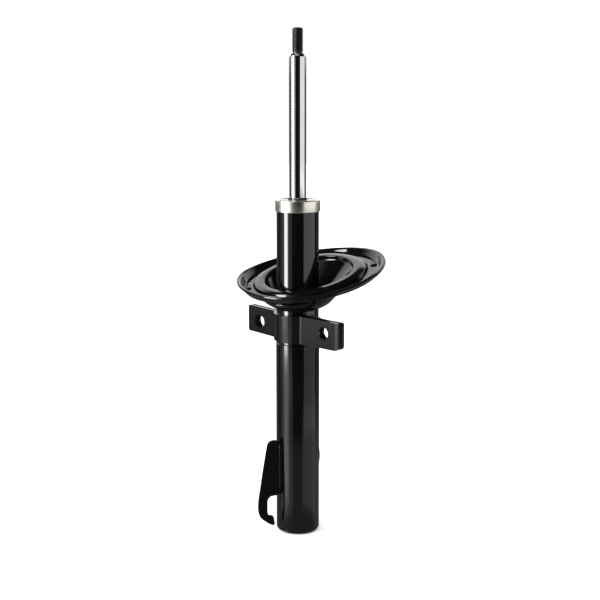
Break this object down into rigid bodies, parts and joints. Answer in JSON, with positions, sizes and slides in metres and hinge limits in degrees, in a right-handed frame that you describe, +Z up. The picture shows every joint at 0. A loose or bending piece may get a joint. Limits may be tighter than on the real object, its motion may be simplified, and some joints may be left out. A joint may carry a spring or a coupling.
{
  "type": "suspension strut",
  "caption": "Front suspension strut: damper tube with chromed rod and threaded stud, tilted spring seat, eared link bracket and hooked locating plate.",
  "frame": {"origin": "centre of the damper tube's flat base", "axes": "+Z up along the damper, +X towards the folded end of the link bracket, +Y towards the high side of the spring seat"},
  "size_m": [0.1978, 0.1935, 0.658],
  "materials": {
    "satin_black": "satin black electrocoat with a faint grain",
    "gloss_black": "glossy black electrocoat",
    "zinc": "bright zinc plate, slightly warm",
    "chrome": "mirror hard chrome on the shaft, dark phosphate on the threaded stud",
    "steel": "plain machined steel with an oil film",
    "spring_steel": "blued spring steel",
    "sintered": "sintered iron with fine pores",
    "bronze": "bronze bush with a dull sliding layer",
    "rubber": "matt nitrile rubber",
    "sliding_band": "filled fluoropolymer band"
  },
  "bodies": {
    "tube": {"outer_tube": "satin_black", "base_cap": "satin_black", "bump_cap": "zinc", "rod_guide": "sintered", "guide_bush": "bronze", "guide_o_ring": "rubber", "oil_seal": "rubber", "garter_spring": "spring_steel", "wiper_seal": "rubber", "inner_tube": "steel", "base_valve_body": "sintered", "base_valve_discs": "spring_steel", "base_valve_rivet": "steel", "intake_spring": "spring_steel", "intake_stop": "steel", "spring_seat": "gloss_black", "link_bracket": "satin_black", "locating_plate": "gloss_black"},
    "intake_valve": {"intake_disc": "spring_steel"},
    "piston_slider": {"piston_band": "sliding_band"},
    "rod": {"piston_rod": "chrome", "rebound_stop_ring": "steel", "rebound_bumper": "rubber", "piston": "sintered", "rebound_discs": "spring_steel", "valve_spring_seat": "steel", "rebound_valve_spring": "spring_steel", "piston_nut": "steel", "check_spring": "spring_steel", "check_stop": "steel"},
    "check_valve": {"check_disc": "spring_steel"}
  },
  "joints": [
    {"name": "rod_slide", "type": "slide", "parent": "tube", "child": "piston_slider", "axis": [0, 0, 1], "range_m": [-0.17, 0], "stiffness_N_per_m": 150, "springref_m": 1},
    {"name": "rod_spin", "type": "hinge", "parent": "piston_slider", "child": "rod", "pos_m": [0, 0, 0.3], "axis": [0, 0, 1], "continuous": true},
    {"name": "intake_lift", "type": "slide", "parent": "tube", "child": "intake_valve", "axis": [0, 0, 1], "range_m": [0, 0.0012], "stiffness_N_per_m": 40, "springref_m": -0.0006, "deforming": ["intake_spring"]},
    {"name": "check_lift", "type": "slide", "parent": "rod", "child": "check_valve", "axis": [0, 0, 1], "range_m": [0, 0.0012], "stiffness_N_per_m": 40, "springref_m": -0.0006, "deforming": ["check_spring"]}
  ]
}
